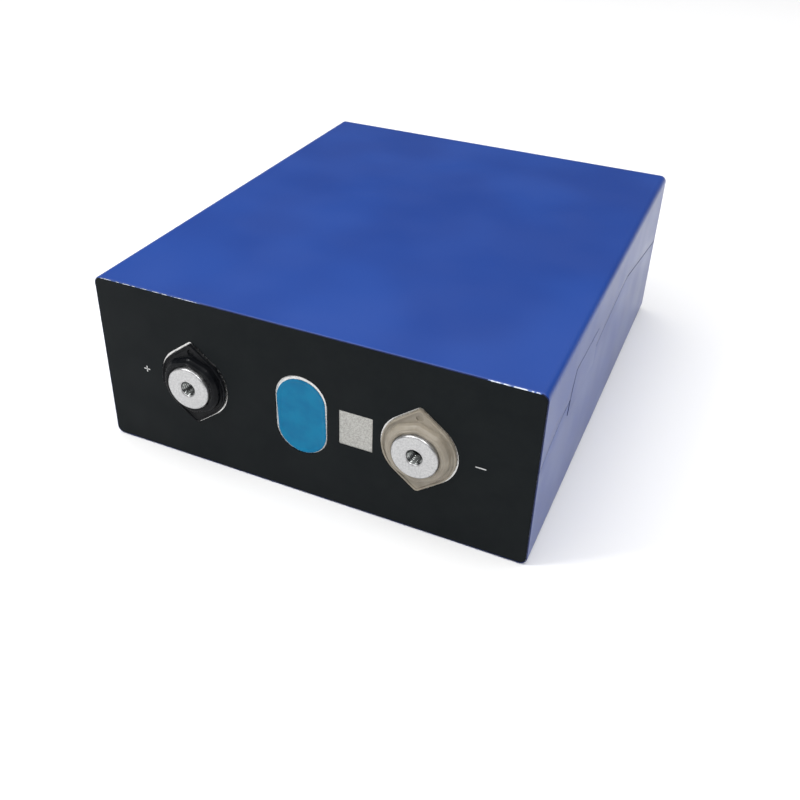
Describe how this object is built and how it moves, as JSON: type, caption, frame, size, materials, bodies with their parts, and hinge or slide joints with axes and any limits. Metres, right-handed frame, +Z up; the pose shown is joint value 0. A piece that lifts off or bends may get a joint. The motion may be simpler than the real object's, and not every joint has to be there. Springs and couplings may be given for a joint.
{
  "type": "prismatic battery cell",
  "caption": "Large-format prismatic lithium iron phosphate cell in a blue film wrap, with round threaded terminals and a pressure vent in its lid.",
  "frame": {"origin": "centre of the bounding box's underside, on the surface that the cell lies on", "axes": "+X along the lid from the positive to the negative terminal, +Y from the lid to the base of the case, +Z up through the cell's thickness"},
  "size_m": [0.1738, 0.2078, 0.0717],
  "materials": {
    "blue_film": "smooth blue insulating film",
    "aluminium": "drawn aluminium",
    "bare_lid": "matt aluminium",
    "black_film": "satin black film",
    "vent_film": "thin translucent blue film",
    "seal_rubber": "fluoro rubber",
    "black_plastic": "moulded black plastic",
    "bag_film": "thin translucent film",
    "natural_plastic": "moulded natural plastic",
    "blue_tape": "insulating tape",
    "copper": null,
    "cathode_coating": "dark coating on aluminium foil",
    "anode_coating": "graphite coating on copper foil",
    "separator": "white porous film"
  },
  "bodies": {
    "root": {"base_film": "blue_film", "base_support": "natural_plastic", "case": "aluminium", "fill_cap": "aluminium", "fill_plug": "seal_rubber", "insulating_bag": "bag_film", "lid_film": "black_film", "lid_plate": "bare_lid", "lower_roll_anode": "anode_coating", "lower_roll_cathode": "cathode_coating", "lower_roll_inner_separator": "separator", "lower_roll_outer_separator": "separator", "lower_roll_tape": "blue_tape", "negative_collector": "copper", "negative_frame": "natural_plastic", "negative_lower_insulator": "black_plastic", "negative_pole_base": "copper", "negative_seal": "seal_rubber", "negative_tab_stack_lower": "copper", "negative_tab_stack_upper": "copper", "negative_terminal": "aluminium", "negative_weld_tape": "blue_tape", "positive_collector": "aluminium", "positive_frame": "black_plastic", "positive_lower_insulator": "black_plastic", "positive_pole_base": "aluminium", "positive_seal": "seal_rubber", "positive_tab_stack_lower": "aluminium", "positive_tab_stack_upper": "aluminium", "positive_terminal": "aluminium", "positive_weld_tape": "blue_tape", "upper_roll_anode": "anode_coating", "upper_roll_cathode": "cathode_coating", "upper_roll_inner_separator": "separator", "upper_roll_outer_separator": "separator", "upper_roll_tape": "blue_tape", "vent_disc": "aluminium", "vent_film": "vent_film", "vent_shield": "black_plastic", "wrap_film": "blue_film"}
  },
  "joints": []
}
